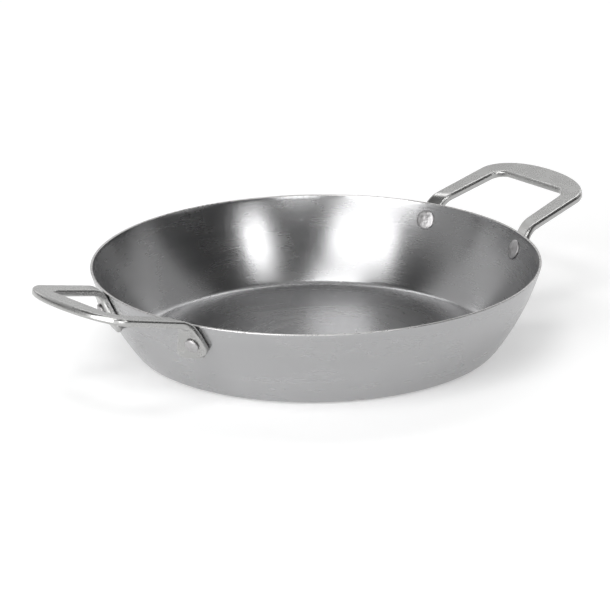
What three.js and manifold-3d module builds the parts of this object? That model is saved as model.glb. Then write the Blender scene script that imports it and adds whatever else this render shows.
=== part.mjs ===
// Two-handled steel frying pan: one pressed sheet body, two strap loop handles and four solid rivets.
// Millimetres, +Z up. The origin is the centre of the underside and X runs along the two handles.
import * as THREE from 'three';
import { mergeVertices } from 'three/addons/utils/BufferGeometryUtils.js';
import Module from 'manifold-3d';

const wasm = await Module();
wasm.setup();

// Pan body
const RIM_RADIUS = 140;
const RIM_HEIGHT = 53.5;
const SHEET = 1.5;
const FOOT_RADIUS = 111.7; // where the wall's curve would meet the table without its fillet
const WALL_ARC = 156; // radius of the wall's own curve, seen in section
const BASE_FILLET = 8.5; // outside radius between base and wall
const RIM_EASE = 0.3; // edges of the cut rim
const TURN_STEPS = 96;
const WALL_STEPS = 6;
const FILLET_STEPS = 3;

// Handles, cut from plate as a U with two feet, then bent once at the rim
const STRAP = 4.6;
const STRAP_EASE = 1.2;
const HANDLE_REACH = 199.3; // outermost edge of the bar, from the pan's axis
const HANDLE_TOP = 72.4; // height of the top face at that edge
const GRIP_RISE = THREE.MathUtils.degToRad(13.8);
const BEND_RADIUS = 17;
const SEAT_GAP = 0.35; // clearance between a foot and the wall

// The flat blank: `run` is measured inwards from the bar's outer edge, `across` from the middle
const BAR_WIDTH = 17.2;
const LEG_OUTER = { run: 21, across: 45 };
const CORNER_REACH = 7.8; // how far the leg's outer edge runs on before it turns
const BOW_REACH = 33.5; // how far the bar's outer edge runs before it turns
const WINDOW_HALF = 31.1;
const WINDOW_CORNER = 8.5;
const NECK = { run: 67, inner: 35.8, outer: 47.4 };
const FOOT_LENGTH = 22;
const FOOT_FLARE = { inner: 0.5, outer: 0.18 }; // sideways growth of a foot edge per millimetre of run
const FLARE_BLEND = 4;
const FOOT_CORNER = 5.5;
const BEND_RUN = 19; // run taken by the bend, above the neck
const BAR_STEPS = 5;
const CORNER_STEPS = 6;
const LEG_STEPS = 4;
const BEND_STEPS = 8;
const FOOT_STEPS = 8;
const ACROSS_STEPS = 4;
const BOW_SHARE = 0.65; // share of the outer corner curve that belongs to the bar
const BISECTIONS = 40; // halvings that find where a strip leaves the wall
const SLIDE_STEPS = 12; // steps in which a foot follows the wall down
const PROBE = 0.05; // distance over which the top face's directions are measured

// Rivets
const RIVET_SPREAD = 42.4; // half the spacing of a handle's two rivets
const RIVET_HEIGHT = 42.6;
const SHANK_RADIUS = 2.75;
const HOLE_RADIUS = 3.05;
const HEAD_GAP = 0.45;
const OUTER_HEAD = { radius: 4.5, edge: 0.5, height: 2.2 };
const INNER_HEAD = { radius: 6.2, edge: 0.5, height: 1.7 };
const HEAD_STEPS = 4;
const RIVET_STEPS = 24;
const DRILL_REACH = 12;

const STEEL_SHEET = new THREE.MeshStandardMaterial({ color: 0x9a9b9d, metalness: 1, roughness: 0.34 });
const STEEL_STRAP = new THREE.MeshStandardMaterial({ color: 0xa9a8a5, metalness: 1, roughness: 0.3 });
const RIVET_METAL = new THREE.MeshStandardMaterial({ color: 0xc9c7c6, metalness: 1, roughness: 0.42 });

/** Centre of the circle of a given radius through two points, on the side nearer the pan's axis. */
function circleCentre(low, high, radius) {
  const middle = low.clone().add(high).multiplyScalar(0.5);
  const chord = high.clone().sub(low);
  const reach = Math.sqrt(radius ** 2 - (chord.length() / 2) ** 2);
  return middle.add(new THREE.Vector2(-chord.y, chord.x).normalize().multiplyScalar(reach));
}

/** Points along an arc, both ends included. */
function arcPoints(centre, radius, from, to, steps) {
  return Array.from({ length: steps + 1 }, (_, i) => {
    const angle = from + ((to - from) * i) / steps;
    return new THREE.Vector2(centre.x + radius * Math.cos(angle), centre.y + radius * Math.sin(angle));
  });
}

const wallCentre = circleCentre(
  new THREE.Vector2(FOOT_RADIUS, 0),
  new THREE.Vector2(RIM_RADIUS, RIM_HEIGHT - RIM_EASE),
  WALL_ARC,
);

/** Outside radius of the pan's wall at a height. */
function wallRadius(height) {
  return wallCentre.x + Math.sqrt(WALL_ARC ** 2 - (height - wallCentre.y) ** 2);
}

/** How fast the wall's outside radius grows with height. */
function wallSlope(height) {
  return (wallCentre.y - height) / (wallRadius(height) - wallCentre.x);
}

/** Half section of the sheet body, from the axis under the base round to the axis on the floor. */
function bodyProfile() {
  const filletReach = Math.sqrt((WALL_ARC - BASE_FILLET) ** 2 - (wallCentre.y - BASE_FILLET) ** 2);
  const fillet = new THREE.Vector2(wallCentre.x + filletReach, BASE_FILLET);
  const footAngle = fillet.clone().sub(wallCentre).angle() - 2 * Math.PI;
  const edgeHeight = RIM_HEIGHT - RIM_EASE;
  const innerArc = WALL_ARC - SHEET;
  const outerRim = Math.asin((edgeHeight - wallCentre.y) / WALL_ARC);
  const innerRim = Math.asin((edgeHeight - wallCentre.y) / innerArc);
  const innerRadius = wallCentre.x + innerArc * Math.cos(innerRim);
  return [
    new THREE.Vector2(0, 0),
    ...arcPoints(fillet, BASE_FILLET, -Math.PI / 2, footAngle, FILLET_STEPS),
    ...arcPoints(wallCentre, WALL_ARC, footAngle, outerRim, WALL_STEPS).slice(1),
    new THREE.Vector2(RIM_RADIUS - RIM_EASE, RIM_HEIGHT),
    new THREE.Vector2(innerRadius + RIM_EASE, RIM_HEIGHT),
    ...arcPoints(wallCentre, innerArc, innerRim, footAngle, WALL_STEPS),
    ...arcPoints(fillet, BASE_FILLET - SHEET, footAngle, -Math.PI / 2, FILLET_STEPS).slice(1),
    new THREE.Vector2(0, SHEET),
  ];
}

/** Turns a lathe profile about +Z. */
function turned(profile, steps) {
  return new THREE.LatheGeometry(profile, steps).rotateX(Math.PI / 2);
}

/** A closed mesh with only its corner positions, as a solid that can be cut. */
function toSolid(geometry) {
  const bare = geometry.clone();
  bare.deleteAttribute('normal');
  bare.deleteAttribute('uv');
  const merged = mergeVertices(bare, 1e-4);
  const index = merged.index.array;
  const kept = [];
  for (let i = 0; i < index.length; i += 3) {
    const [a, b, c] = index.slice(i, i + 3);
    if (a !== b && b !== c && c !== a) kept.push(a, b, c);
  }
  return new wasm.Manifold(
    new wasm.Mesh({
      numProp: 3,
      vertProperties: new Float32Array(merged.attributes.position.array),
      triVerts: new Uint32Array(kept),
    }),
  );
}

/** The geometry of a cut solid. */
function toGeometry(solid) {
  const cut = solid.getMesh();
  const geometry = new THREE.BufferGeometry();
  geometry.setAttribute('position', new THREE.BufferAttribute(new Float32Array(cut.vertProperties), 3));
  geometry.setIndex(new THREE.BufferAttribute(new Uint32Array(cut.triVerts), 1));
  geometry.computeVertexNormals();
  return geometry;
}

/** Places a rivet: its origin on the wall's outside, its +Z along the wall's outward normal. */
function rivetFrame(end, side) {
  const radius = wallRadius(RIVET_HEIGHT);
  const across = side * RIVET_SPREAD;
  const along = end * Math.sqrt(radius ** 2 - across ** 2);
  const outward = new THREE.Vector3(along / radius, across / radius, -wallSlope(RIVET_HEIGHT)).normalize();
  const turn = new THREE.Quaternion().setFromUnitVectors(new THREE.Vector3(0, 0, 1), outward);
  return new THREE.Matrix4().compose(
    new THREE.Vector3(along, across, RIVET_HEIGHT),
    turn,
    new THREE.Vector3(1, 1, 1),
  );
}

const ENDS = { left: -1, right: 1 };
const SIDES = { front: -1, back: 1 };

/** Cuts the rivet holes of the given handle ends out of a geometry. */
function drilled(geometry, ends) {
  let solid = toSolid(geometry);
  for (const end of ends) {
    for (const side of Object.values(SIDES)) {
      const drill = new THREE.CylinderGeometry(HOLE_RADIUS, HOLE_RADIUS, 2 * DRILL_REACH, RIVET_STEPS);
      drill.rotateX(Math.PI / 2).applyMatrix4(rivetFrame(end, side));
      solid = solid.subtract(toSolid(drill));
    }
  }
  return toGeometry(solid);
}

function panBody() {
  return drilled(turned(bodyProfile(), TURN_STEPS), Object.values(ENDS));
}

/** Where the foot's wall-side face lies at a height, for one distance across the handle. */
function seatX(height, across) {
  return Math.sqrt((wallRadius(height) + SEAT_GAP) ** 2 - across ** 2);
}

/** Angle above horizontal of the wall-side face at a height, seen across the handle. */
function seatAngle(height, across) {
  const slope = ((wallRadius(height) + SEAT_GAP) * wallSlope(height)) / seatX(height, across);
  return Math.atan2(1, slope);
}

/** Height of the grip's top face at a distance from the pan's axis. */
function gripHeight(x) {
  return HANDLE_TOP + (x - HANDLE_REACH) * Math.tan(GRIP_RISE);
}

/** The bend of one lengthwise strip: its circle centre, the height where it leaves the wall, and its runs. */
function bendOf(across) {
  let low = RIM_HEIGHT / 2;
  let high = RIM_HEIGHT;
  let bend;
  for (let i = 0; i < BISECTIONS; i += 1) {
    const leave = (low + high) / 2;
    const steep = seatAngle(leave, across);
    const centre = new THREE.Vector2(
      seatX(leave, across) + BEND_RADIUS * Math.sin(steep),
      leave - BEND_RADIUS * Math.cos(steep),
    );
    const top = new THREE.Vector2(-Math.sin(GRIP_RISE), Math.cos(GRIP_RISE))
      .multiplyScalar(BEND_RADIUS)
      .add(centre);
    if (top.y > gripHeight(top.x)) high = leave;
    else low = leave;
    const flatRun = (HANDLE_REACH - top.x) / Math.cos(GRIP_RISE);
    bend = { centre, leave, flatRun, wallRun: flatRun + BEND_RADIUS * (steep - GRIP_RISE) };
  }
  return bend;
}

/** Point of the strap's top face for a place on the flat blank, at the +X end. */
function topFace(run, across) {
  const bend = bendOf(across);
  if (run <= bend.flatRun) {
    const x = HANDLE_REACH - run * Math.cos(GRIP_RISE);
    return new THREE.Vector3(x, across, gripHeight(x));
  }
  if (run <= bend.wallRun) {
    const angle = GRIP_RISE + (run - bend.flatRun) / BEND_RADIUS;
    return new THREE.Vector3(
      bend.centre.x - BEND_RADIUS * Math.sin(angle),
      across,
      bend.centre.y + BEND_RADIUS * Math.cos(angle),
    );
  }
  let height = bend.leave;
  for (let i = 0; i < SLIDE_STEPS; i += 1) {
    height -= ((run - bend.wallRun) / SLIDE_STEPS) * Math.sin(seatAngle(height, across));
  }
  return new THREE.Vector3(seatX(height, across), across, height);
}

/** Point at a depth under the top face, measured square to it. */
function strapPoint(run, across, depth) {
  const alongRun = topFace(run + PROBE, across).sub(topFace(run - PROBE, across));
  const alongAcross = topFace(run, across + PROBE).sub(topFace(run, across - PROBE));
  const inward = alongRun.cross(alongAcross).normalize();
  return topFace(run, across).addScaledVector(inward, depth);
}

/** Matched places on the outer and inner edges of one half of the blank, from the bar to the foot's end. */
function blankEdges() {
  const legSlope = (NECK.inner - WINDOW_HALF) / (NECK.run - BAR_WIDTH);
  const lean = Math.atan(legSlope);
  const tangent = WINDOW_CORNER * Math.tan((Math.PI / 2 - lean) / 2);
  const cornerCentre = new THREE.Vector2(BAR_WIDTH + WINDOW_CORNER, WINDOW_HALF - tangent);
  const outerCurve = new THREE.CubicBezierCurve(
    new THREE.Vector2(0, 0),
    new THREE.Vector2(0, BOW_REACH),
    new THREE.Vector2(LEG_OUTER.run - CORNER_REACH, LEG_OUTER.across),
    new THREE.Vector2(LEG_OUTER.run, LEG_OUTER.across),
  );
  const pairs = [];
  const barEnd = 1 - BOW_SHARE;
  for (let i = 0; i < BAR_STEPS; i += 1) {
    const share = i / BAR_STEPS;
    pairs.push({
      outer: outerCurve.getPoint(share * barEnd),
      inner: new THREE.Vector2(BAR_WIDTH, cornerCentre.y * share),
    });
  }
  const corner = arcPoints(cornerCentre, WINDOW_CORNER, Math.PI, Math.PI / 2 + lean, CORNER_STEPS);
  corner.forEach((inner, i) => {
    pairs.push({ outer: outerCurve.getPoint(barEnd + (1 - barEnd) * (i / CORNER_STEPS)), inner });
  });
  const legStart = pairs[pairs.length - 1];
  const bendStart = NECK.run - BEND_RUN;
  const legRuns = (from) => [
    ...Array.from({ length: LEG_STEPS }, (_, i) => from + ((bendStart - from) * (i + 1)) / LEG_STEPS),
    ...Array.from({ length: BEND_STEPS }, (_, i) => bendStart + (BEND_RUN * (i + 1)) / BEND_STEPS),
  ];
  const outerRuns = legRuns(legStart.outer.x);
  const innerRuns = legRuns(legStart.inner.x);
  const outerSlope = (NECK.outer - LEG_OUTER.across) / (NECK.run - LEG_OUTER.run);
  outerRuns.forEach((run, i) => {
    pairs.push({
      outer: new THREE.Vector2(run, LEG_OUTER.across + (run - LEG_OUTER.run) * outerSlope),
      inner: new THREE.Vector2(innerRuns[i], WINDOW_HALF + (innerRuns[i] - BAR_WIDTH) * legSlope),
    });
  });
  for (let i = 1; i <= FOOT_STEPS; i += 1) {
    const down = FOOT_LENGTH * Math.sin(((i / FOOT_STEPS) * Math.PI) / 2);
    const spread = down < FLARE_BLEND ? down ** 2 / (2 * FLARE_BLEND) : down - FLARE_BLEND / 2;
    const past = Math.max(0, down - (FOOT_LENGTH - FOOT_CORNER));
    const rounding = FOOT_CORNER - Math.sqrt(FOOT_CORNER ** 2 - past ** 2);
    pairs.push({
      outer: new THREE.Vector2(NECK.run + down, NECK.outer + FOOT_FLARE.outer * spread - rounding),
      inner: new THREE.Vector2(NECK.run + down, NECK.inner - FOOT_FLARE.inner * spread + rounding),
    });
  }
  return pairs;
}

/** Section of the strap between an outer and an inner place on the blank, as a closed ring of points. */
function strapRing({ outer, inner }, side) {
  const ease = STRAP_EASE / outer.distanceTo(inner);
  const shares = Array.from({ length: ACROSS_STEPS + 1 }, (_, i) => ease + ((1 - 2 * ease) * i) / ACROSS_STEPS);
  const places = [
    ...shares.map((share) => [share, 0]),
    [1, STRAP_EASE],
    [1, STRAP - STRAP_EASE],
    ...shares.toReversed().map((share) => [share, STRAP]),
    [0, STRAP - STRAP_EASE],
    [0, STRAP_EASE],
  ];
  return places.map(([share, depth]) => {
    const place = outer.clone().lerp(inner, share);
    const point = strapPoint(place.x, place.y, depth);
    point.y *= side;
    return point;
  });
}

/** The handle at the +X end: rings lofted from one foot round the bar to the other. */
function strapHandle() {
  const pairs = blankEdges();
  const back = pairs.toReversed().map((pair) => strapRing(pair, 1));
  const front = pairs.slice(1).map((pair) => strapRing(pair, -1));
  const rings = [...back, ...front];
  const size = rings[0].length;
  const index = [];
  for (let r = 0; r + 1 < rings.length; r += 1) {
    for (let i = 0; i < size; i += 1) {
      const next = (i + 1) % size;
      const [a, b] = [r * size + i, r * size + next];
      const [c, d] = [(r + 1) * size + next, (r + 1) * size + i];
      index.push(a, b, c, a, c, d);
    }
  }
  const cap = (base, flip) => {
    const last = ACROSS_STEPS;
    const lower = (i) => 2 * ACROSS_STEPS + 3 - i;
    const faces = [];
    for (let i = 0; i < last; i += 1) {
      faces.push([i, i + 1, lower(i + 1)], [i, lower(i + 1), lower(i)]);
    }
    faces.push([last, last + 1, last + 2], [last, last + 2, lower(last)]);
    faces.push([0, lower(0), size - 2], [0, size - 2, size - 1]);
    for (const [a, b, c] of faces) {
      if (flip) index.push(base + a, base + b, base + c);
      else index.push(base + a, base + c, base + b);
    }
  };
  cap(0, false);
  cap((rings.length - 1) * size, true);
  const geometry = new THREE.BufferGeometry();
  const positions = rings.flat().flatMap((point) => point.toArray());
  geometry.setAttribute('position', new THREE.Float32BufferAttribute(positions, 3));
  geometry.setAttribute('normal', new THREE.Float32BufferAttribute(positions, 3));
  geometry.setAttribute('uv', new THREE.Float32BufferAttribute(new Array((positions.length / 3) * 2).fill(0), 2));
  geometry.setIndex(index);
  return drilled(geometry, [ENDS.right]);
}

/** Half section of a domed head, from its flat underside's edge out to the axis. */
function headProfile(head, seat, direction) {
  const crown = head.height - head.edge;
  return [
    new THREE.Vector2(head.radius, seat),
    ...Array.from({ length: HEAD_STEPS + 1 }, (_, i) => {
      const angle = ((i / HEAD_STEPS) * Math.PI) / 2;
      const height = head.edge + crown * Math.sin(angle);
      return new THREE.Vector2(head.radius * Math.cos(angle), seat + direction * height);
    }),
  ];
}

/** One rivet in its own frame: inside head, shank and outside head in one solid. */
function rivet() {
  const innerSeat = -(SHEET + HEAD_GAP);
  const outerSeat = SEAT_GAP + STRAP + HEAD_GAP;
  return turned(
    [
      ...headProfile(INNER_HEAD, innerSeat, -1).toReversed(),
      new THREE.Vector2(SHANK_RADIUS, innerSeat),
      new THREE.Vector2(SHANK_RADIUS, outerSeat),
      ...headProfile(OUTER_HEAD, outerSeat, 1),
    ],
    RIVET_STEPS,
  );
}

function named(name, geometry, material) {
  const mesh = new THREE.Mesh(geometry, material);
  mesh.name = name;
  return mesh;
}

const pan = new THREE.Group();
pan.add(named('pan_body', panBody(), STEEL_SHEET));
for (const [endName, end] of Object.entries(ENDS)) {
  const handle = named(`handle_${endName}`, strapHandle(), STEEL_STRAP);
  handle.rotation.z = end === ENDS.right ? 0 : Math.PI;
  pan.add(handle);
  for (const [sideName, side] of Object.entries(SIDES)) {
    const fastener = named(`rivet_${endName}_${sideName}`, rivet(), RIVET_METAL);
    fastener.applyMatrix4(rivetFrame(end, side));
    pan.add(fastener);
  }
}

export default pan;
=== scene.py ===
"""Two-handled steel frying pan: the finished looks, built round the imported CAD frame.

Blender pieces are in metres in the CAD's own frame: X runs along the two handles, +Z is up and the
origin is the centre of the underside. The pan's own sizes are in millimetres, as on a workshop
drawing, and `MM` turns them into metres when a mesh is made. The studio's sizes are in metres.
"""

from __future__ import annotations

import logging
import math
from dataclasses import dataclass, field
from enum import Enum
from typing import Any, Iterable, Sequence

import bpy
import numpy as np
from mathutils import Matrix, Quaternion, Vector, noise

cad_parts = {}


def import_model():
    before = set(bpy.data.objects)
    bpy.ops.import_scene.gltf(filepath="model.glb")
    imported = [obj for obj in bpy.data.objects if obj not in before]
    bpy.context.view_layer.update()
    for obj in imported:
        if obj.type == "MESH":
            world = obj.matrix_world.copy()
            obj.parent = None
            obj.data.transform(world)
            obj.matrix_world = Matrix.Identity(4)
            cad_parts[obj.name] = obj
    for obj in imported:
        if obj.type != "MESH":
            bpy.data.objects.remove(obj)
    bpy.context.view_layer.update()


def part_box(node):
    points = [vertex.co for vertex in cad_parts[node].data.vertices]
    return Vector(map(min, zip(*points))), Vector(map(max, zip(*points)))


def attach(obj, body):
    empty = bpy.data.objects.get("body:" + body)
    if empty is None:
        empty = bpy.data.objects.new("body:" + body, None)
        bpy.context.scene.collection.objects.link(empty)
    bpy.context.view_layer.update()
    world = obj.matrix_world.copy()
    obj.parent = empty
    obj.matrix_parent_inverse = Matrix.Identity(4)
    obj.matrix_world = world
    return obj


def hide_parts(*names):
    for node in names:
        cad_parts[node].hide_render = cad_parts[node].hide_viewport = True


LOG = logging.getLogger("frying_pan")
MM = 0.001
Colour = tuple[float, float, float]
WHITE: Colour = (1.0, 1.0, 1.0)


# --------------------------------------------------------------------------- shader maths


class Value:
    """A node's output, wrapped so that shader maths reads as Python."""

    def __init__(self, tree: ShaderTree, maker: bpy.types.Node, output: int | str) -> None:
        """Wraps one output.

        Args:
            tree: the tree that new Math nodes are added to.
            maker: the node that gives the value.
            output: index or name of the node's output.
        """
        self.tree = tree
        self.maker = maker
        self.output = output

    @property
    def socket(self) -> bpy.types.NodeSocket:
        """The output socket that holds the value."""
        return self.maker.outputs[self.output]

    def beside(self, output: int | str) -> Value:
        """Another output of the same node."""
        return Value(self.tree, self.maker, output)

    def centred(self) -> Value:
        """Noise from 0 to 1, shifted to lie about 0."""
        return self - 0.5

    def _math(self, operation: str, left: Any, right: Any) -> Value:
        """Adds one Math node.

        Args:
            operation: the Math node's operation.
            left: first operand, a Value or a number.
            right: second operand, a Value or a number.

        Returns:
            The node's result.
        """
        return self.tree.node("ShaderNodeMath", {"operation": operation}, {0: left, 1: right})

    def __add__(self, other: Any) -> Value:
        """self + other."""
        return self._math("ADD", self, other)

    def __radd__(self, other: Any) -> Value:
        """other + self."""
        return self._math("ADD", other, self)

    def __sub__(self, other: Any) -> Value:
        """self - other."""
        return self._math("SUBTRACT", self, other)

    def __rsub__(self, other: Any) -> Value:
        """other - self."""
        return self._math("SUBTRACT", other, self)

    def __mul__(self, other: Any) -> Value:
        """self * other."""
        return self._math("MULTIPLY", self, other)

    def __rmul__(self, other: Any) -> Value:
        """other * self."""
        return self._math("MULTIPLY", other, self)

    def __truediv__(self, other: Any) -> Value:
        """self / other."""
        return self._math("DIVIDE", self, other)

    def __rtruediv__(self, other: Any) -> Value:
        """other / self."""
        return self._math("DIVIDE", other, self)

    def __pow__(self, other: Any) -> Value:
        """self ** other."""
        return self._math("POWER", self, other)

    def __rpow__(self, other: Any) -> Value:
        """other ** self."""
        return self._math("POWER", other, self)


class ShaderTree:
    """A tree of shader nodes, a material's or the world's."""

    def __init__(self, tree: bpy.types.NodeTree) -> None:
        """Empties a tree, ready for its new nodes.

        Args:
            tree: the node tree.
        """
        self.tree = tree
        tree.nodes.clear()

    def node(
        self,
        kind: str,
        settings: dict[str, Any] | None = None,
        inputs: dict[int | str, Any] | None = None,
        output: int | str = 0,
    ) -> Value:
        """Adds a node.

        Args:
            kind: the node's type name.
            settings: its attributes, which are set first.
            inputs: value or link of each socket, by its index or name.
            output: the output that is returned.

        Returns:
            The chosen output, wrapped.
        """
        made = self.tree.nodes.new(kind)
        for key, setting in (settings or {}).items():
            setattr(made, key, setting)
        for key, given in (inputs or {}).items():
            self._feed(made.inputs[key], given)
        return Value(self, made, output)

    def blend(self, share: Any, low: Colour | Value, high: Colour | Value) -> Value:
        """Mixes two colours.

        Args:
            share: 0 gives low and 1 gives high.
            low: first colour.
            high: second colour.

        Returns:
            The mixed colour.
        """
        return self.node("ShaderNodeMix", {"data_type": "RGBA"}, {0: share, 6: low, 7: high}, output=2)

    def clouds(self, where: Value, scale: float, detail: float = 2.0, rough: float = 0.5) -> Value:
        """Smooth 3-D noise from 0 to 1.

        Args:
            where: the coordinates it is read at.
            scale: features per unit of the coordinates.
            detail: number of finer layers.
            rough: strength of the finer layers.

        Returns:
            The noise.
        """
        return self.node(
            "ShaderNodeTexNoise",
            {"noise_dimensions": "3D"},
            {"Vector": where, "Scale": scale, "Detail": detail, "Roughness": rough},
        )

    def bump(self, height: Value, depth: float) -> Value:
        """Turns a height into a bent normal.

        Args:
            height: relief from 0 to 1.
            depth: what a height of 1 stands for, in millimetres.

        Returns:
            The normal.
        """
        return self.node(
            "ShaderNodeBump", None, {"Height": height, "Distance": depth * MM, "Strength": 1.0}
        )

    def _feed(self, socket: bpy.types.NodeSocket, given: Any) -> None:
        """Fills one input socket.

        Args:
            socket: the input socket.
            given: a Value to link, or the socket's own number or colour.
        """
        if isinstance(given, Value):
            self.tree.links.new(given.socket, socket)
        elif socket.type == "RGBA":
            socket.default_value = (*given, 1.0)
        else:
            socket.default_value = given


class Shader(ShaderTree):
    """The shader tree of one new material."""

    def __init__(self, name: str) -> None:
        """Makes an empty material.

        Args:
            name: the material's name.
        """
        self.material = bpy.data.materials.new(name)
        self.material.use_nodes = True
        super().__init__(self.material.node_tree)

    def surface(self, **sockets: Any) -> bpy.types.Material:
        """Ends the tree in a Principled shader.

        Args:
            **sockets: value or link of each of its sockets, by the socket's name with _ for a space.

        Returns:
            The finished material.
        """
        inputs = {name.replace("_", " "): given for name, given in sockets.items()}
        principled = self.node("ShaderNodeBsdfPrincipled", None, inputs)
        self.node("ShaderNodeOutputMaterial", None, {"Surface": principled})
        return self.material


# --------------------------------------------------------------------------- finishes
#
# Patterns are noise. In each finish, `..._per_m` is a pattern's fineness in features per metre, and
# `..._shade`, `..._wear` and `..._relief` say how much it shows in colour, roughness and bump. The
# bump's `depth` is in millimetres.


def darker(colour: Colour, share: float) -> Colour:
    """A colour cut down to a share of itself."""
    red, green, blue = colour
    return red * share, green * share, blue * share


@dataclass(frozen=True)
class SpunSteel:
    """Raw sheet steel, polished while it turned, so that its fine lines run round the axis.

    The lines are counted by the radius plus `climb` times the height, which grows up the wall as well
    as across the floor. `quarter_turn` makes highlights spread across the lines, not along them.
    """

    name: str = "spun_steel"
    dark: Colour = (0.385, 0.385, 0.39)
    light: Colour = (0.45, 0.45, 0.455)
    roughness: float = 0.27
    anisotropy: float = 0.6
    quarter_turn: float = 0.25
    depth: float = 0.007
    lines_per_mm: float = 1.1
    line_breaks: float = 1.8
    line_shade: float = 0.06
    line_wear: float = 0.02
    line_relief: float = 0.02
    bands_per_line: float = 0.16
    band_breaks: float = 1.2
    band_shade: float = 0.34
    band_wear: float = 0.05
    smudges_per_m: float = 22.0
    smudge_shade: float = 0.6
    smudge_wear: float = 0.1
    grains_per_m: float = 1300.0
    climb: float = 0.7
    axis_guard: float = 1e-9

    def material(self) -> bpy.types.Material:
        """Makes the material.

        Returns:
            The material.
        """
        shader = Shader(self.name)
        place = shader.node("ShaderNodeTexCoord", output="Object")
        x = shader.node("ShaderNodeSeparateXYZ", None, {0: place}, "X")
        y, z = x.beside("Y"), x.beside("Z")
        radius = (x * x + y * y + self.axis_guard) ** 0.5
        across = (radius + z * self.climb) * (self.lines_per_mm / MM)
        heading = (x / radius, y / radius)
        lines = self._spun(across, heading, self.line_breaks, detail=1.0)
        bands = self._spun(across * self.bands_per_line, heading, self.band_breaks, detail=2.0)
        smudge = shader.clouds(place, self.smudges_per_m, detail=4.0, rough=0.55)
        grain = shader.clouds(place, self.grains_per_m)
        shade = smudge * self.smudge_shade + bands * self.band_shade + lines * self.line_shade
        wear = smudge.centred() * self.smudge_wear + bands.centred() * self.band_wear
        relief = lines * self.line_relief + grain * (1 - self.line_relief)
        return shader.surface(
            Base_Color=shader.blend(shade, self.dark, self.light),
            Metallic=1.0,
            Roughness=self.roughness + wear + lines.centred() * self.line_wear,
            Anisotropic=self.anisotropy,
            Anisotropic_Rotation=self.quarter_turn,
            Normal=shader.bump(relief, self.depth),
        )

    @staticmethod
    def _spun(across: Value, heading: tuple[Value, Value], breaks: float, detail: float) -> Value:
        """Noise drawn out round the axis.

        Args:
            across: place across the pattern, counted in its lines.
            heading: cosine and sine of the angle round the axis.
            breaks: how quickly the pattern changes on its way round.
            detail: number of finer layers.

        Returns:
            The noise, from 0 to 1.
        """
        cosine, sine = heading
        where = across.tree.node(
            "ShaderNodeCombineXYZ", None, {0: across, 1: cosine * breaks, 2: sine * breaks}
        )
        return across.tree.clouds(where, 1.0, detail)


@dataclass(frozen=True)
class CutEdge:
    """The rim's sheared and eased edge, brighter than the sheet's faces, with fine nicks."""

    name: str = "cut_edge"
    tint: Colour = (0.55, 0.545, 0.54)
    dark_share: float = 0.86
    roughness: float = 0.28
    depth: float = 0.003
    nicks_per_m: float = 420.0
    nick_wear: float = 0.1

    def material(self) -> bpy.types.Material:
        """Makes the material.

        Returns:
            The material.
        """
        shader = Shader(self.name)
        place = shader.node("ShaderNodeTexCoord", output="Object")
        nicks = shader.clouds(place, self.nicks_per_m, detail=3.0)
        return shader.surface(
            Base_Color=shader.blend(nicks, darker(self.tint, self.dark_share), self.tint),
            Metallic=1.0,
            Roughness=self.roughness + nicks.centred() * self.nick_wear,
            Normal=shader.bump(nicks, self.depth),
        )


@dataclass(frozen=True)
class StrapSteel:
    """Plate steel tumbled after stamping: an even satin with faint pits and handling marks."""

    name: str = "strap_steel"
    dark: Colour = (0.41, 0.41, 0.404)
    light: Colour = (0.46, 0.459, 0.452)
    roughness: float = 0.27
    depth: float = 0.008
    marks_per_m: float = 90.0
    mark_wear: float = 0.1
    pits_per_m: float = 1100.0
    pit_shade: float = 0.1
    pit_wear: float = 0.04
    pit_relief: float = 0.05

    def material(self) -> bpy.types.Material:
        """Makes the material.

        Returns:
            The material.
        """
        shader = Shader(self.name)
        place = shader.node("ShaderNodeTexCoord", output="Object")
        pits = shader.clouds(place, self.pits_per_m, detail=1.0)
        marks = shader.clouds(place, self.marks_per_m)
        shade = marks * (1 - self.pit_shade) + pits * self.pit_shade
        wear = marks.centred() * self.mark_wear + pits.centred() * self.pit_wear
        relief = marks * (1 - self.pit_relief) + pits * self.pit_relief
        return shader.surface(
            Base_Color=shader.blend(shade, self.dark, self.light),
            Metallic=1.0,
            Roughness=self.roughness + wear,
            Normal=shader.bump(relief, self.depth),
        )


@dataclass(frozen=True)
class RivetMetal:
    """Soft pale rivet metal, dull where the upsetting tool crushed it."""

    name: str = "rivet_metal"
    dark: Colour = (0.27, 0.265, 0.265)
    light: Colour = (0.62, 0.61, 0.615)
    roughness: float = 0.4
    depth: float = 0.16
    mottles_per_m: float = 420.0
    mottle_wear: float = 0.25
    grains_per_m: float = 3200.0
    grain_relief: float = 0.25

    def material(self) -> bpy.types.Material:
        """Makes the material.

        Returns:
            The material.
        """
        shader = Shader(self.name)
        place = shader.node("ShaderNodeTexCoord", output="Object")
        mottle = shader.clouds(place, self.mottles_per_m, detail=3.0)
        grain = shader.clouds(place, self.grains_per_m)
        relief = mottle * (1 - self.grain_relief) + grain * self.grain_relief
        return shader.surface(
            Base_Color=shader.blend(mottle, self.dark, self.light),
            Metallic=1.0,
            Roughness=self.roughness + mottle.centred() * self.mottle_wear,
            Normal=shader.bump(relief, self.depth),
        )


@dataclass(frozen=True)
class PaleFloor:
    """Matt white light table, lit softly from below."""

    name: str = "pale_floor"
    tint: Colour = (0.8, 0.8, 0.8)
    dark_share: float = 0.99
    clouds_per_m: float = 4.0
    roughness: float = 0.9
    specular: float = 0.1
    glow: float = 0.32

    def material(self) -> bpy.types.Material:
        """Makes the material.

        Returns:
            The material.
        """
        shader = Shader(self.name)
        place = shader.node("ShaderNodeTexCoord", output="Object")
        clouds = shader.clouds(place, self.clouds_per_m)
        return shader.surface(
            Base_Color=shader.blend(clouds, darker(self.tint, self.dark_share), self.tint),
            Roughness=self.roughness,
            Specular_IOR_Level=self.specular,
            Emission_Color=WHITE,
            Emission_Strength=self.glow,
        )


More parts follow.
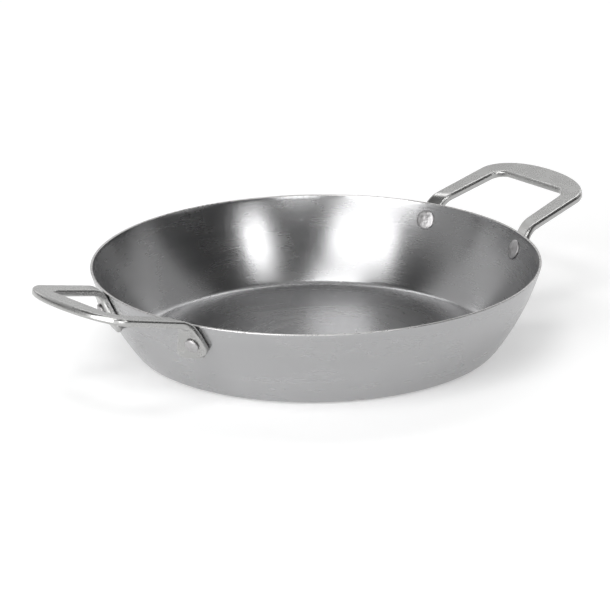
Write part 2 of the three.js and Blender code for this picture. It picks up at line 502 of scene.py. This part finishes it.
# --------------------------------------------------------------------------- mesh helpers


def mesh_object(
    name: str,
    points: np.ndarray,
    faces: Iterable[Sequence[int]],
    materials: Sequence[bpy.types.Material],
    slots: Sequence[int] | None = None,
) -> bpy.types.Object:
    """Makes a smooth-shaded mesh object.

    Args:
        name: the object's name.
        points: corner positions in millimetres, one row each.
        faces: corner numbers of each face.
        materials: the object's materials.
        slots: number of the material of each face, or None for the first.

    Returns:
        The object, linked to the scene.
    """
    mesh = bpy.data.meshes.new(name)
    mesh.from_pydata((points * MM).tolist(), [], [tuple(f) for f in faces])
    for material in materials:
        mesh.materials.append(material)
    if slots is not None:
        mesh.polygons.foreach_set("material_index", np.asarray(slots, np.int32))
    mesh.shade_smooth()
    mesh.update()
    made = bpy.data.objects.new(name, mesh)
    bpy.context.scene.collection.objects.link(made)
    return made


def arc(centre: tuple[float, float], radius: float, start: float, stop: float, steps: int) -> np.ndarray:
    """Points along an arc, both ends included.

    Args:
        centre: the arc's centre.
        radius: its radius.
        start: angle of its first point, in radians.
        stop: angle of its last point, in radians.
        steps: number of steps between them.

    Returns:
        One row for each point.
    """
    angle = np.linspace(start, stop, steps + 1)
    return np.stack([centre[0] + radius * np.cos(angle), centre[1] + radius * np.sin(angle)], 1)


def turn_profile(profile: np.ndarray, steps: int) -> tuple[np.ndarray, list[tuple[int, ...]], list[int]]:
    """Turns a half section about +Z. Its first and last points lie on the axis.

    Args:
        profile: radius and height of each point, running outwards under the base and back over the top.
        steps: number of steps round the axis.

    Returns:
        The points, the faces and, for each face, the number of its profile segment.
    """
    angle = np.linspace(0.0, 2 * math.pi, steps, endpoint=False)
    inside = profile[1:-1]
    rings = [
        np.stack([r * np.cos(angle), r * np.sin(angle), np.full(steps, z)], 1) for r, z in inside
    ]
    points = np.concatenate([*rings, [[0, 0, profile[0, 1]], [0, 0, profile[-1, 1]]]])
    first, last = len(points) - 2, len(points) - 1
    faces: list[tuple[int, ...]] = []
    segments: list[int] = []
    for i in range(steps):
        j = (i + 1) % steps
        faces.append((first, j, i))
        segments.append(0)
        for ring in range(len(inside) - 1):
            a, b = ring * steps, (ring + 1) * steps
            faces.append((a + i, a + j, b + j, b + i))
            segments.append(ring + 1)
        top = (len(inside) - 1) * steps
        faces.append((top + i, top + j, last))
        segments.append(len(inside))
    return points, faces, segments


# --------------------------------------------------------------------------- sub-assemblies


class End(Enum):
    """Which end of the X axis a handle is at."""

    LEFT = -1
    RIGHT = 1


class Side(Enum):
    """Which side of its handle a rivet is on, towards -Y or +Y."""

    FRONT = -1
    BACK = 1


@dataclass
class Wall:
    """The pan's curved wall in section: one arc outside and a parallel one inside."""

    rim_radius: float
    rim_height: float
    foot_radius: float = 111.7
    curve: float = 156.0
    rim_ease: float = 0.3
    centre: tuple[float, float] = field(init=False)

    def __post_init__(self) -> None:
        """Finds the centre of the wall's curve, on the axis side of the chord from foot to rim."""
        low = np.array([self.foot_radius, 0.0])
        high = np.array([self.rim_radius, self.rim_height - self.rim_ease])
        chord = high - low
        half = np.linalg.norm(chord) / 2
        square = np.array([-chord[1], chord[0]]) / (2 * half)
        found = (low + high) / 2 + square * math.sqrt(self.curve**2 - half**2)
        self.centre = (float(found[0]), float(found[1]))

    def radius(self, height: np.ndarray | float) -> np.ndarray:
        """Outside radius at a height."""
        return self.centre[0] + np.sqrt(self.curve**2 - (np.asarray(height) - self.centre[1]) ** 2)

    def slope(self, height: np.ndarray | float) -> np.ndarray:
        """Growth of the outside radius with height."""
        return (self.centre[1] - np.asarray(height)) / (self.radius(height) - self.centre[0])


@dataclass
class PanBody:
    """The pressed sheet body.

    `rim_blend` is the angle, in radians, that the rim's rounding stops short of the wall's faces. The
    floor's rings are radii, and the last ring lies `last_ring_gap` inside the base fillet.
    """

    wall: Wall
    sheet: float = 1.5
    base_fillet: float = 8.5
    rim_round: float = 0.55
    rim_blend: float = 0.06
    floor_rings: tuple[float, ...] = (0.0, 20.0, 40.0, 60.0, 80.0, 95.0, 103.0)
    last_ring_gap: float = 0.8
    turn_steps: int = 288
    wall_steps: int = 30
    fillet_steps: int = 10
    rim_steps: int = 5

    def profile(self) -> tuple[np.ndarray, list[str]]:
        """Half section of the sheet.

        Returns:
            The points, and the name of the stretch that each segment after a point belongs to.
        """
        centre, curve = self.wall.centre, self.wall.curve
        rim_height = self.wall.rim_height
        reach = math.sqrt((curve - self.base_fillet) ** 2 - (centre[1] - self.base_fillet) ** 2)
        fillet = (centre[0] + reach, self.base_fillet)
        foot = math.atan2(fillet[1] - centre[1], fillet[0] - centre[0])
        inner = curve - self.sheet
        round_height = rim_height - self.rim_round
        outer_rim = math.asin((round_height - centre[1]) / curve)
        inner_rim = math.asin((round_height - centre[1]) / inner)
        outer_radius = centre[0] + curve * math.cos(outer_rim)
        inner_radius = centre[0] + inner * math.cos(inner_rim)
        rings = [*self.floor_rings, fillet[0] - self.last_ring_gap]
        outer_round = (outer_radius - self.rim_round, round_height)
        inner_round = (inner_radius + self.rim_round, round_height)
        inner_fillet = self.base_fillet - self.sheet
        top, level = math.pi / 2, math.pi
        stretches = [
            ("base", np.array([[r, 0.0] for r in rings])),
            ("outside", arc(fillet, self.base_fillet, -top, foot, self.fillet_steps)),
            ("outside", arc(centre, curve, foot, outer_rim, self.wall_steps)[1:]),
            ("rim", arc(outer_round, self.rim_round, self.rim_blend, top, self.rim_steps)),
            ("rim", arc(inner_round, self.rim_round, top, level - self.rim_blend, self.rim_steps)),
            ("inside", arc(centre, inner, inner_rim, foot, self.wall_steps)),
            ("inside", arc(fillet, inner_fillet, foot, -top, self.fillet_steps)[1:]),
            ("inside", np.array([[r, self.sheet] for r in reversed(rings)])),
        ]
        names = [name for name, points in stretches for _ in points]
        return np.concatenate([points for _, points in stretches]), names

    def build(self, sheet_steel: bpy.types.Material, edge: bpy.types.Material) -> bpy.types.Object:
        """Makes the body.

        Args:
            sheet_steel: material of the sheet's faces.
            edge: material of the rim's cut edge.

        Returns:
            The body's object.
        """
        profile, names = self.profile()
        points, faces, segments = turn_profile(profile, self.turn_steps)
        slots = [1 if names[s] == "rim" else 0 for s in segments]
        return mesh_object("pan_body_spun", points, faces, [sheet_steel, edge], slots)


@dataclass
class LoopHandle:
    """A handle cut from plate as a U with two feet, bent once at the rim, its feet formed to the wall.

    On the flat blank, `run` is measured inwards from the bar's outer edge and `across` from the middle.
    `reach` and `top` are the X and the height of the finished top face at the bar's outer edge. The
    bend's start is found by `halvings`, the foot is followed down the wall in `slide_steps`, and the
    top face's slope is felt with `probe`.
    """

    wall: Wall
    reach: float
    top: float
    strap: float = 4.6
    edge_round: float = 1.6
    rise: float = math.radians(13.8)
    bend_radius: float = 17.0
    seat_gap: float = 0.12
    bar_width: float = 17.2
    leg_outer: tuple[float, float] = (21.0, 45.0)
    corner_reach: float = 7.8
    bow_reach: float = 33.5
    bow_share: float = 0.65
    window_half: float = 31.1
    window_corner: float = 8.5
    neck_run: float = 67.0
    neck_inner: float = 35.8
    neck_outer: float = 47.4
    foot_length: float = 22.0
    foot_flare_inner: float = 0.5
    foot_flare_outer: float = 0.18
    flare_blend: float = 4.0
    foot_corner: float = 5.5
    bend_run: float = 19.0
    halvings: int = 36
    slide_steps: int = 12
    probe: float = 0.05
    face_steps: int = 12
    face_margin: float = 0.02
    edge_steps: int = 5
    end_steps: int = 4

    def seat_x(self, height: np.ndarray, across: np.ndarray) -> np.ndarray:
        """Distance from the axis plane to the foot's wall-side face, at heights and places across."""
        return np.sqrt((self.wall.radius(height) + self.seat_gap) ** 2 - across**2)

    def seat_angle(self, height: np.ndarray, across: np.ndarray) -> np.ndarray:
        """Angle above horizontal of the foot's wall-side face."""
        slope = (self.wall.radius(height) + self.seat_gap) * self.wall.slope(height)
        return np.arctan2(self.seat_x(height, across), slope)

    def grip_height(self, x: np.ndarray) -> np.ndarray:
        """Height of the grip's top face at a distance along X."""
        return self.top + (x - self.reach) * math.tan(self.rise)

    def top_face(self, run: np.ndarray, across: np.ndarray) -> np.ndarray:
        """Bends places on the flat blank into the finished top face, at the +X end.

        Args:
            run: distance inwards from the bar's outer edge.
            across: distance from the handle's middle.

        Returns:
            One row of x, y and z for each place.
        """
        low = np.full(run.shape, self.wall.rim_height / 2)
        high = np.full(run.shape, self.wall.rim_height)
        for _ in range(self.halvings):
            leave = (low + high) / 2
            steep = self.seat_angle(leave, across)
            centre_x = self.seat_x(leave, across) + self.bend_radius * np.sin(steep)
            centre_z = leave - self.bend_radius * np.cos(steep)
            crest_x = centre_x - self.bend_radius * math.sin(self.rise)
            above = centre_z + self.bend_radius * math.cos(self.rise) > self.grip_height(crest_x)
            high = np.where(above, leave, high)
            low = np.where(above, low, leave)
        flat_run = (self.reach - crest_x) / math.cos(self.rise)
        wall_run = flat_run + self.bend_radius * (steep - self.rise)
        flat_x = self.reach - run * math.cos(self.rise)
        angle = self.rise + np.clip(run - flat_run, 0, None) / self.bend_radius
        bent_x = centre_x - self.bend_radius * np.sin(angle)
        bent_z = centre_z + self.bend_radius * np.cos(angle)
        foot_z = leave.copy()
        slide = np.clip(run - wall_run, 0, None) / self.slide_steps
        for _ in range(self.slide_steps):
            foot_z -= slide * np.sin(self.seat_angle(foot_z, across))
        foot_x = self.seat_x(foot_z, across)
        x = np.where(run <= flat_run, flat_x, np.where(run <= wall_run, bent_x, foot_x))
        z = np.where(run <= flat_run, self.grip_height(flat_x), np.where(run <= wall_run, bent_z, foot_z))
        return np.stack([x, across, z], -1)

    def strap_point(self, run: np.ndarray, across: np.ndarray, depth: np.ndarray) -> np.ndarray:
        """Points at depths under the top face, measured square to it.

        Args:
            run: distance inwards from the bar's outer edge.
            across: distance from the handle's middle.
            depth: distance under the top face.

        Returns:
            One row of x, y and z for each point.
        """
        probe = self.probe
        along_run = self.top_face(run + probe, across) - self.top_face(run - probe, across)
        along_across = self.top_face(run, across + probe) - self.top_face(run, across - probe)
        inward = np.cross(along_run, along_across)
        inward /= np.linalg.norm(inward, axis=-1, keepdims=True)
        return self.top_face(run, across) + inward * depth[..., None]

    def blank_edges(self) -> tuple[np.ndarray, np.ndarray]:
        """Matched places on the outer and inner edges of half the blank, from the bar to the foot's end.

        Returns:
            The outer places and the inner places, each a row of run and across.
        """
        leg_slope = (self.neck_inner - self.window_half) / (self.neck_run - self.bar_width)
        lean = math.atan(leg_slope)
        tangent = self.window_corner * math.tan((math.pi / 2 - lean) / 2)
        corner = (self.bar_width + self.window_corner, self.window_half - tangent)
        bar_steps, corner_steps, leg_steps, bend_steps, foot_steps = 22, 22, 16, 26, 30
        bar_end = 1 - self.bow_share
        share = np.linspace(0, 1, bar_steps, endpoint=False)
        outer = [self._outer_curve(share * bar_end)]
        inner = [np.stack([np.full(bar_steps, self.bar_width), corner[1] * share], 1)]
        outer.append(self._outer_curve(np.linspace(bar_end, 1, corner_steps + 1)))
        inner.append(arc(corner, self.window_corner, math.pi, math.pi / 2 + lean, corner_steps))
        bend_start = self.neck_run - self.bend_run
        outer_slope = (self.neck_outer - self.leg_outer[1]) / (self.neck_run - self.leg_outer[0])
        for edge, origin, slope in (
            (outer, self.leg_outer, outer_slope),
            (inner, (self.bar_width, self.window_half), leg_slope),
        ):
            leg = np.linspace(edge[-1][-1, 0], bend_start, leg_steps + 1)[1:]
            bend = np.linspace(bend_start, self.neck_run, bend_steps + 1)[1:]
            run = np.concatenate([leg, bend])
            edge.append(np.stack([run, origin[1] + (run - origin[0]) * slope], 1))
        down = self.foot_length * np.sin(np.linspace(0, math.pi / 2, foot_steps + 1)[1:])
        spread = np.where(
            down < self.flare_blend, down**2 / (2 * self.flare_blend), down - self.flare_blend / 2
        )
        past = np.clip(down - (self.foot_length - self.foot_corner), 0, None)
        rounding = self.foot_corner - np.sqrt(np.clip(self.foot_corner**2 - past**2, 0, None))
        run = self.neck_run + down
        outer.append(np.stack([run, self.neck_outer + self.foot_flare_outer * spread - rounding], 1))
        inner.append(np.stack([run, self.neck_inner - self.foot_flare_inner * spread + rounding], 1))
        return np.concatenate(outer), np.concatenate(inner)

    def _outer_curve(self, share: np.ndarray) -> np.ndarray:
        """The outer edge from the bar's middle round the corner to the leg.

        Args:
            share: how far along the curve each place is, from 0 to 1.

        Returns:
            One row of run and across for each place.
        """
        run, across = self.leg_outer
        guides = [(0.0, 0.0), (0.0, self.bow_reach), (run - self.corner_reach, across), (run, across)]
        t = share[:, None]
        weights = ((1 - t) ** 3, 3 * t * (1 - t) ** 2, 3 * t**2 * (1 - t), t**3)
        return sum(w * np.array(g) for w, g in zip(weights, guides))

    def section(self) -> list[tuple[float, float, float]]:
        """The strap's section, with four rounded edges.

        Returns:
            A closed ring of the share of the way across, the inset from that place, and the depth.
        """
        r, t = self.edge_round, self.strap
        quarter = np.linspace(0, math.pi / 2, self.edge_steps + 1)
        face = [0.0, *np.linspace(self.face_margin, 1 - self.face_margin, self.face_steps - 1), 1.0]
        ring = [(s, (1 - 2 * s) * r, 0.0) for s in face]
        ring += [(1.0, -r * (1 - math.sin(a)), r * (1 - math.cos(a))) for a in quarter[1:]]
        ring += [(1.0, -r * (1 - math.cos(a)), t - r * (1 - math.sin(a))) for a in quarter]
        ring += [(s, (1 - 2 * s) * r, t) for s in reversed(face[:-1])]
        ring += [(0.0, r * (1 - math.sin(a)), t - r * (1 - math.cos(a))) for a in quarter[1:]]
        ring += [(0.0, r * (1 - math.cos(a)), r * (1 - math.sin(a))) for a in quarter[:-1]]
        return ring

    def rings(self) -> np.ndarray:
        """Places the section all along the strap, from one foot round the bar to the other.

        Returns:
            The points, by ring and by place in the ring.
        """
        outer, inner = self.blank_edges()
        depth_cut = np.zeros(len(outer))
        end_turn = np.linspace(0, math.pi / 2, self.end_steps + 1)[1:]
        end_run = self.edge_round * np.sin(end_turn)
        outer = np.concatenate([outer, outer[-1] + np.stack([end_run, 0 * end_run], 1)])
        inner = np.concatenate([inner, inner[-1] + np.stack([end_run, 0 * end_run], 1)])
        depth_cut = np.concatenate([depth_cut, self.edge_round * (1 - np.cos(end_turn))])
        width = np.linalg.norm(outer - inner, axis=1)[:, None]
        ring = np.array(self.section())
        share = ring[None, :, 0] + ring[None, :, 1] / width
        place = outer[:, None, :] + (inner - outer)[:, None, :] * share[..., None]
        depth = np.clip(ring[None, :, 2], depth_cut[:, None], self.strap - depth_cut[:, None])
        half = self.strap_point(place[..., 0], place[..., 1], depth)
        mirrored = half[1:] * np.array([1.0, -1.0, 1.0])
        return np.concatenate([half[::-1], mirrored])

    def build(self, name: str, end: End, steel: bpy.types.Material) -> bpy.types.Object:
        """Makes one handle.

        Args:
            name: the piece's name.
            end: the end that it is at.
            steel: its material.

        Returns:
            The handle's object.
        """
        rings = self.rings()
        count, size = rings.shape[:2]
        faces = []
        for r in range(count - 1):
            for i in range(size):
                j = (i + 1) % size
                a, b = r * size, (r + 1) * size
                faces.append((a + i, a + j, b + j, b + i))
        faces.append(tuple(reversed(range(size))))
        faces.append(tuple((count - 1) * size + i for i in range(size)))
        points = rings.reshape(-1, 3) * np.array([end.value, end.value, 1.0])
        return mesh_object(name, points, faces, [steel])


@dataclass
class Rivet:
    """A solid rivet: a small domed head outside and a larger upset head inside.

    A head's edge takes `edge_share` of its height, eased at the seat, and a `shoulder` below 1 fills
    out the crown above it. The gaps keep a head clear of what it is pressed against. The inside head
    is uneven by `lump_depth` in height and by `swell`, a share, in radius.
    """

    wall: Wall
    spread: float = 42.4
    height: float = 42.6
    sheet: float = 1.5
    strap: float = 4.6
    seat_gap: float = 0.12
    shank: float = 2.75
    outer_radius: float = 4.5
    outer_height: float = 2.1
    outer_gap: float = 0.06
    inner_radius: float = 6.2
    inner_height: float = 1.6
    inner_gap: float = 0.12
    edge_share: float = 0.38
    shoulder: float = 0.9
    ease_foot: float = 0.35
    ease_side: float = 0.1
    ease_height: float = 0.12
    lumps_per_mm: float = 0.55
    lump_depth: float = 0.16
    lump_clear: float = 0.05
    swell: float = 0.035
    seed: tuple[float, float, float] = (31.0, 17.0, 5.0)
    turn_steps: int = 72
    crown_steps: int = 13

    def frame(self, end: End, side: Side) -> Matrix:
        """Where the rivet sits: origin on the wall's outside, +Z along the wall's outward normal.

        Args:
            end: the handle's end.
            side: the rivet's side of the handle.

        Returns:
            The matrix, in millimetres.
        """
        radius = float(self.wall.radius(self.height))
        slope = float(self.wall.slope(self.height))
        across = side.value * self.spread
        along = end.value * math.sqrt(radius**2 - across**2)
        outward = Vector((along / radius, across / radius, -slope)).normalized()
        turn = Vector((0, 0, 1)).rotation_difference(outward)
        return Matrix.Translation((along, across, self.height)) @ turn.to_matrix().to_4x4()

    def _head(self, radius: float, height: float, seat: float, way: int) -> np.ndarray:
        """Half section of a head from its rim to the axis, with a small eased edge.

        Args:
            radius: the head's radius.
            height: its height at the axis.
            seat: place of its flat seat along the shank.
            way: 1 for a head that stands outwards and -1 for one that stands inwards.

        Returns:
            One row of radius and place along the shank for each point.
        """
        edge = self.edge_share * height
        rise = np.linspace(0, math.pi / 2, self.crown_steps + 1)
        crown_radius = radius * np.cos(rise) ** self.shoulder
        crown_height = edge + (height - edge) * np.sin(rise)
        crown = np.stack([crown_radius, seat + way * crown_height], 1)
        eased = [[radius - self.ease_foot, seat], [radius - self.ease_side, seat + way * self.ease_height]]
        return np.concatenate([np.array(eased), crown])

    def _upset(self, points: np.ndarray, seat: float, seed: Vector) -> None:
        """Makes the inside head uneven, as the upsetting tool leaves it.

        Args:
            points: the rivet's points, which are moved; +Z is the wall's outward normal.
            seat: place of the inside head's seat along the shank.
            seed: where the noise is read, so that no two rivets are alike.
        """
        for row in points:
            if row[2] < seat - self.lump_clear:
                out = max(math.hypot(row[0], row[1]), 0.01)
                row[2] -= self.lump_depth * noise.noise(
                    Vector((row[0], row[1], 0.0)) * self.lumps_per_mm + seed
                )
                swell = 1 + self.swell * noise.noise(Vector((row[0] / out, row[1] / out, 0)) + seed)
                row[0] *= swell
                row[1] *= swell

    def build(self, name: str, end: End, side: Side, metal: bpy.types.Material) -> bpy.types.Object:
        """Makes one rivet.

        Args:
            name: the piece's name.
            end: the handle's end.
            side: the rivet's side of the handle.
            metal: its material.

        Returns:
            The rivet's object.
        """
        inner_seat = -self.sheet - self.inner_gap
        outer_seat = self.seat_gap + self.strap + self.outer_gap
        inner = self._head(self.inner_radius, self.inner_height, inner_seat, -1)[::-1]
        outer = self._head(self.outer_radius, self.outer_height, outer_seat, 1)
        shank = np.array([[self.shank, inner_seat], [self.shank, outer_seat]])
        points, faces, _ = turn_profile(np.concatenate([inner, shank, outer]), self.turn_steps)
        self._upset(
            points, inner_seat, Vector((end.value * self.seed[0], side.value * self.seed[1], self.seed[2]))
        )
        place = np.array(self.frame(end, side))
        points = points @ place[:3, :3].T + place[:3, 3]
        return mesh_object(name, points, faces, [metal])


# --------------------------------------------------------------------------- studio


def heading(azimuth: float, elevation: float) -> Vector:
    """Unit vector at an azimuth, from -Y towards +X, and an elevation, both in degrees."""
    turn, lift = math.radians(azimuth), math.radians(elevation)
    return Vector((math.sin(turn) * math.cos(lift), -math.cos(turn) * math.cos(lift), math.sin(lift)))


@dataclass(frozen=True)
class Softbox:
    """A rectangular light that faces the pan's middle, its width level.

    Angles are in degrees and sizes in metres. Azimuth 0 is on the camera's side and grows towards
    the right of its picture. `radiance` is the brightness of its face.
    """

    name: str
    azimuth: float
    elevation: float
    width: float
    height: float
    radiance: float
    distance: float = 2.0

    def hang(self, camera_azimuth: float, aim: Vector) -> bpy.types.Object:
        """Makes the lamp.

        Args:
            camera_azimuth: the camera's own azimuth, in degrees.
            aim: the point that the lamp faces.

        Returns:
            The lamp's object, hidden from the camera's direct view.
        """
        data = bpy.data.lights.new(self.name, "AREA")
        data.shape = "RECTANGLE"
        data.size, data.size_y = self.width, self.height
        data.energy = self.radiance * self.width * self.height * math.pi
        lamp = bpy.data.objects.new(self.name, data)
        lamp.visible_camera = False
        bpy.context.scene.collection.objects.link(lamp)
        away = heading(camera_azimuth + self.azimuth, self.elevation)
        lamp.location = away * self.distance + aim
        lamp.rotation_mode = "QUATERNION"
        lamp.rotation_quaternion = (-away).to_track_quat("-Z", "Y")
        return lamp


@dataclass
class Studio:
    """Camera, floor, surroundings and lights, in metres and degrees."""

    camera_azimuth: float = -40.04
    camera_elevation: float = 18.6
    camera_distance: float = 2.8
    aim_height: float = 0.02883
    yaw: float = 0.145
    pitch: float = -0.075
    roll: float = 0.72
    lens: float = 265.8
    sensor: float = 36.0
    clip: tuple[float, float] = (0.05, 50.0)
    floor_half: float = 1.7
    floor_drop: float = 0.0003
    world_grey: float = 0.05
    softboxes: tuple[Softbox, ...] = (
        Softbox("key_left_low", -37.5, 7.0, 1.45, 0.45, 9.5),
        Softbox("key_left_high", -31.0, 37.0, 1.26, 0.8, 4.2),
        Softbox("key_right_low", 9.0, 6.5, 0.75, 0.42, 6.2),
        Softbox("key_right_high", 38.0, 37.0, 0.43, 0.7, 6.5),
        Softbox("top_front", -22.0, 66.0, 0.8, 0.6, 4.4),
        Softbox("top_back", 180.0, 53.0, 1.3, 0.6, 3.2),
        Softbox("ceiling", 0.0, 88.0, 1.6, 1.6, 0.4),
        Softbox("backdrop", 180.0, 20.0, 4.5, 1.4, 0.72),
        Softbox("fill_left", -75.0, 16.0, 1.3, 1.0, 0.45),
        Softbox("side_left", -124.0, 30.0, 1.9, 1.6, 0.62),
        Softbox("side_right", 122.0, 30.0, 1.9, 1.6, 0.42),
        Softbox("edge_right", 147.0, 32.0, 0.5, 1.0, 0.9),
    )

    @property
    def aim(self) -> Vector:
        """The pan's middle, which the camera looks at and the lamps face."""
        return Vector((0, 0, self.aim_height))

    def place_camera(self) -> bpy.types.Object:
        """Makes the camera, turned a little from its aim by yaw, pitch and roll.

        Returns:
            The camera's object.
        """
        data = bpy.data.cameras.new("camera")
        data.lens, data.sensor_width = self.lens, self.sensor
        data.clip_start, data.clip_end = self.clip
        camera = bpy.data.objects.new("camera", data)
        bpy.context.scene.collection.objects.link(camera)
        back = heading(self.camera_azimuth, self.camera_elevation)
        right = heading(self.camera_azimuth + 90.0, 0.0)
        forward, up = -back, right.cross(-back)
        turn = Quaternion(up, math.radians(self.yaw))
        forward, right = turn @ forward, turn @ right
        turn = Quaternion(right, math.radians(self.pitch))
        forward, up = turn @ forward, turn @ up
        turn = Quaternion(forward, math.radians(self.roll))
        right, up = turn @ right, turn @ up
        stand = Matrix.Translation(back * self.camera_distance + self.aim)
        camera.matrix_world = stand @ Matrix((right, up, -forward)).transposed().to_4x4()
        bpy.context.scene.camera = camera
        return camera

    def lay_floor(self, finish: PaleFloor) -> bpy.types.Object:
        """Makes the floor, a hair below the base so that the two faces don't meet.

        Args:
            finish: the floor's finish.

        Returns:
            The floor's object.
        """
        half = self.floor_half / MM
        corners = np.array([[-half, -half, 0], [half, -half, 0], [half, half, 0], [-half, half, 0]])
        floor = mesh_object("floor", corners, [(0, 1, 2, 3)], [finish.material()])
        floor.location.z = -self.floor_drop
        return floor

    def light(self) -> None:
        """Makes the surroundings, white in the picture and dim elsewhere, and hangs the lamps."""
        world = bpy.data.worlds.new("studio")
        bpy.context.scene.world = world
        world.use_nodes = True
        tree = ShaderTree(world.node_tree)
        dim = tree.node("ShaderNodeBackground", None, {"Color": (self.world_grey,) * 3})
        white = tree.node("ShaderNodeBackground", None, {"Color": WHITE})
        seen = tree.node("ShaderNodeLightPath", output="Is Camera Ray")
        both = tree.node("ShaderNodeMixShader", None, {"Fac": seen, 1: dim, 2: white})
        tree.node("ShaderNodeOutputWorld", None, {"Surface": both})
        for softbox in self.softboxes:
            softbox.hang(self.camera_azimuth, self.aim)

    def build(self) -> None:
        """Sets up everything that isn't the pan."""
        self.place_camera()
        self.lay_floor(PaleFloor())
        self.light()
        bpy.context.scene.view_settings.view_transform = "Standard"


# --------------------------------------------------------------------------- the pan


@dataclass
class FryingPan:
    """The whole pan: one body, two handles and four rivets."""

    wall: Wall
    body: PanBody
    handle: LoopHandle
    rivet: Rivet

    @classmethod
    def from_frame(cls) -> FryingPan:
        """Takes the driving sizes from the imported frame.

        Returns:
            The pan, not yet built.
        """
        _, body_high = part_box("pan_body")
        _, handle_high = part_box("handle_right")
        wall = Wall(rim_radius=body_high.x / MM, rim_height=body_high.z / MM)
        lean = math.sin(LoopHandle.rise)
        cad_chamfer = 1.2
        reach = handle_high.x / MM - (LoopHandle.strap - cad_chamfer) * lean
        top = handle_high.z / MM + cad_chamfer * lean
        return cls(wall, PanBody(wall), LoopHandle(wall, reach, top), Rivet(wall))

    def build(self) -> None:
        """Makes every piece, dresses it and ties it to the frame."""
        sheet_steel = SpunSteel().material()
        edge = CutEdge().material()
        strap_steel = StrapSteel().material()
        rivet_metal = RivetMetal().material()
        self._tie(self.body.build(sheet_steel, edge), "pan_body", "sheet_steel")
        for end in End:
            node = f"handle_{end.name.lower()}"
            self._tie(self.handle.build(f"{node}_strap", end, strap_steel), node, "strap_steel")
            for side in Side:
                node = f"rivet_{end.name.lower()}_{side.name.lower()}"
                rivet = self.rivet.build(f"{node}_headed", end, side, rivet_metal)
                self._tie(rivet, node, "rivet_metal")

    @staticmethod
    def _tie(piece: bpy.types.Object, node: str, slot: str) -> None:
        """Lets a piece ride on the frame in place of a CAD node.

        Args:
            piece: the finished piece.
            node: the CAD node it stands for.
            slot: not used.
        """
        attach(piece, "root")
        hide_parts(node)
        LOG.info("%s: %d faces, stands for %s", piece.name, len(piece.data.polygons), node)


def main() -> None:
    """Builds the studio and the pan."""
    logging.basicConfig(level=logging.INFO, format="%(name)s: %(message)s")
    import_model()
    Studio().build()
    FryingPan.from_frame().build()


if __name__ == "__main__":
    main()
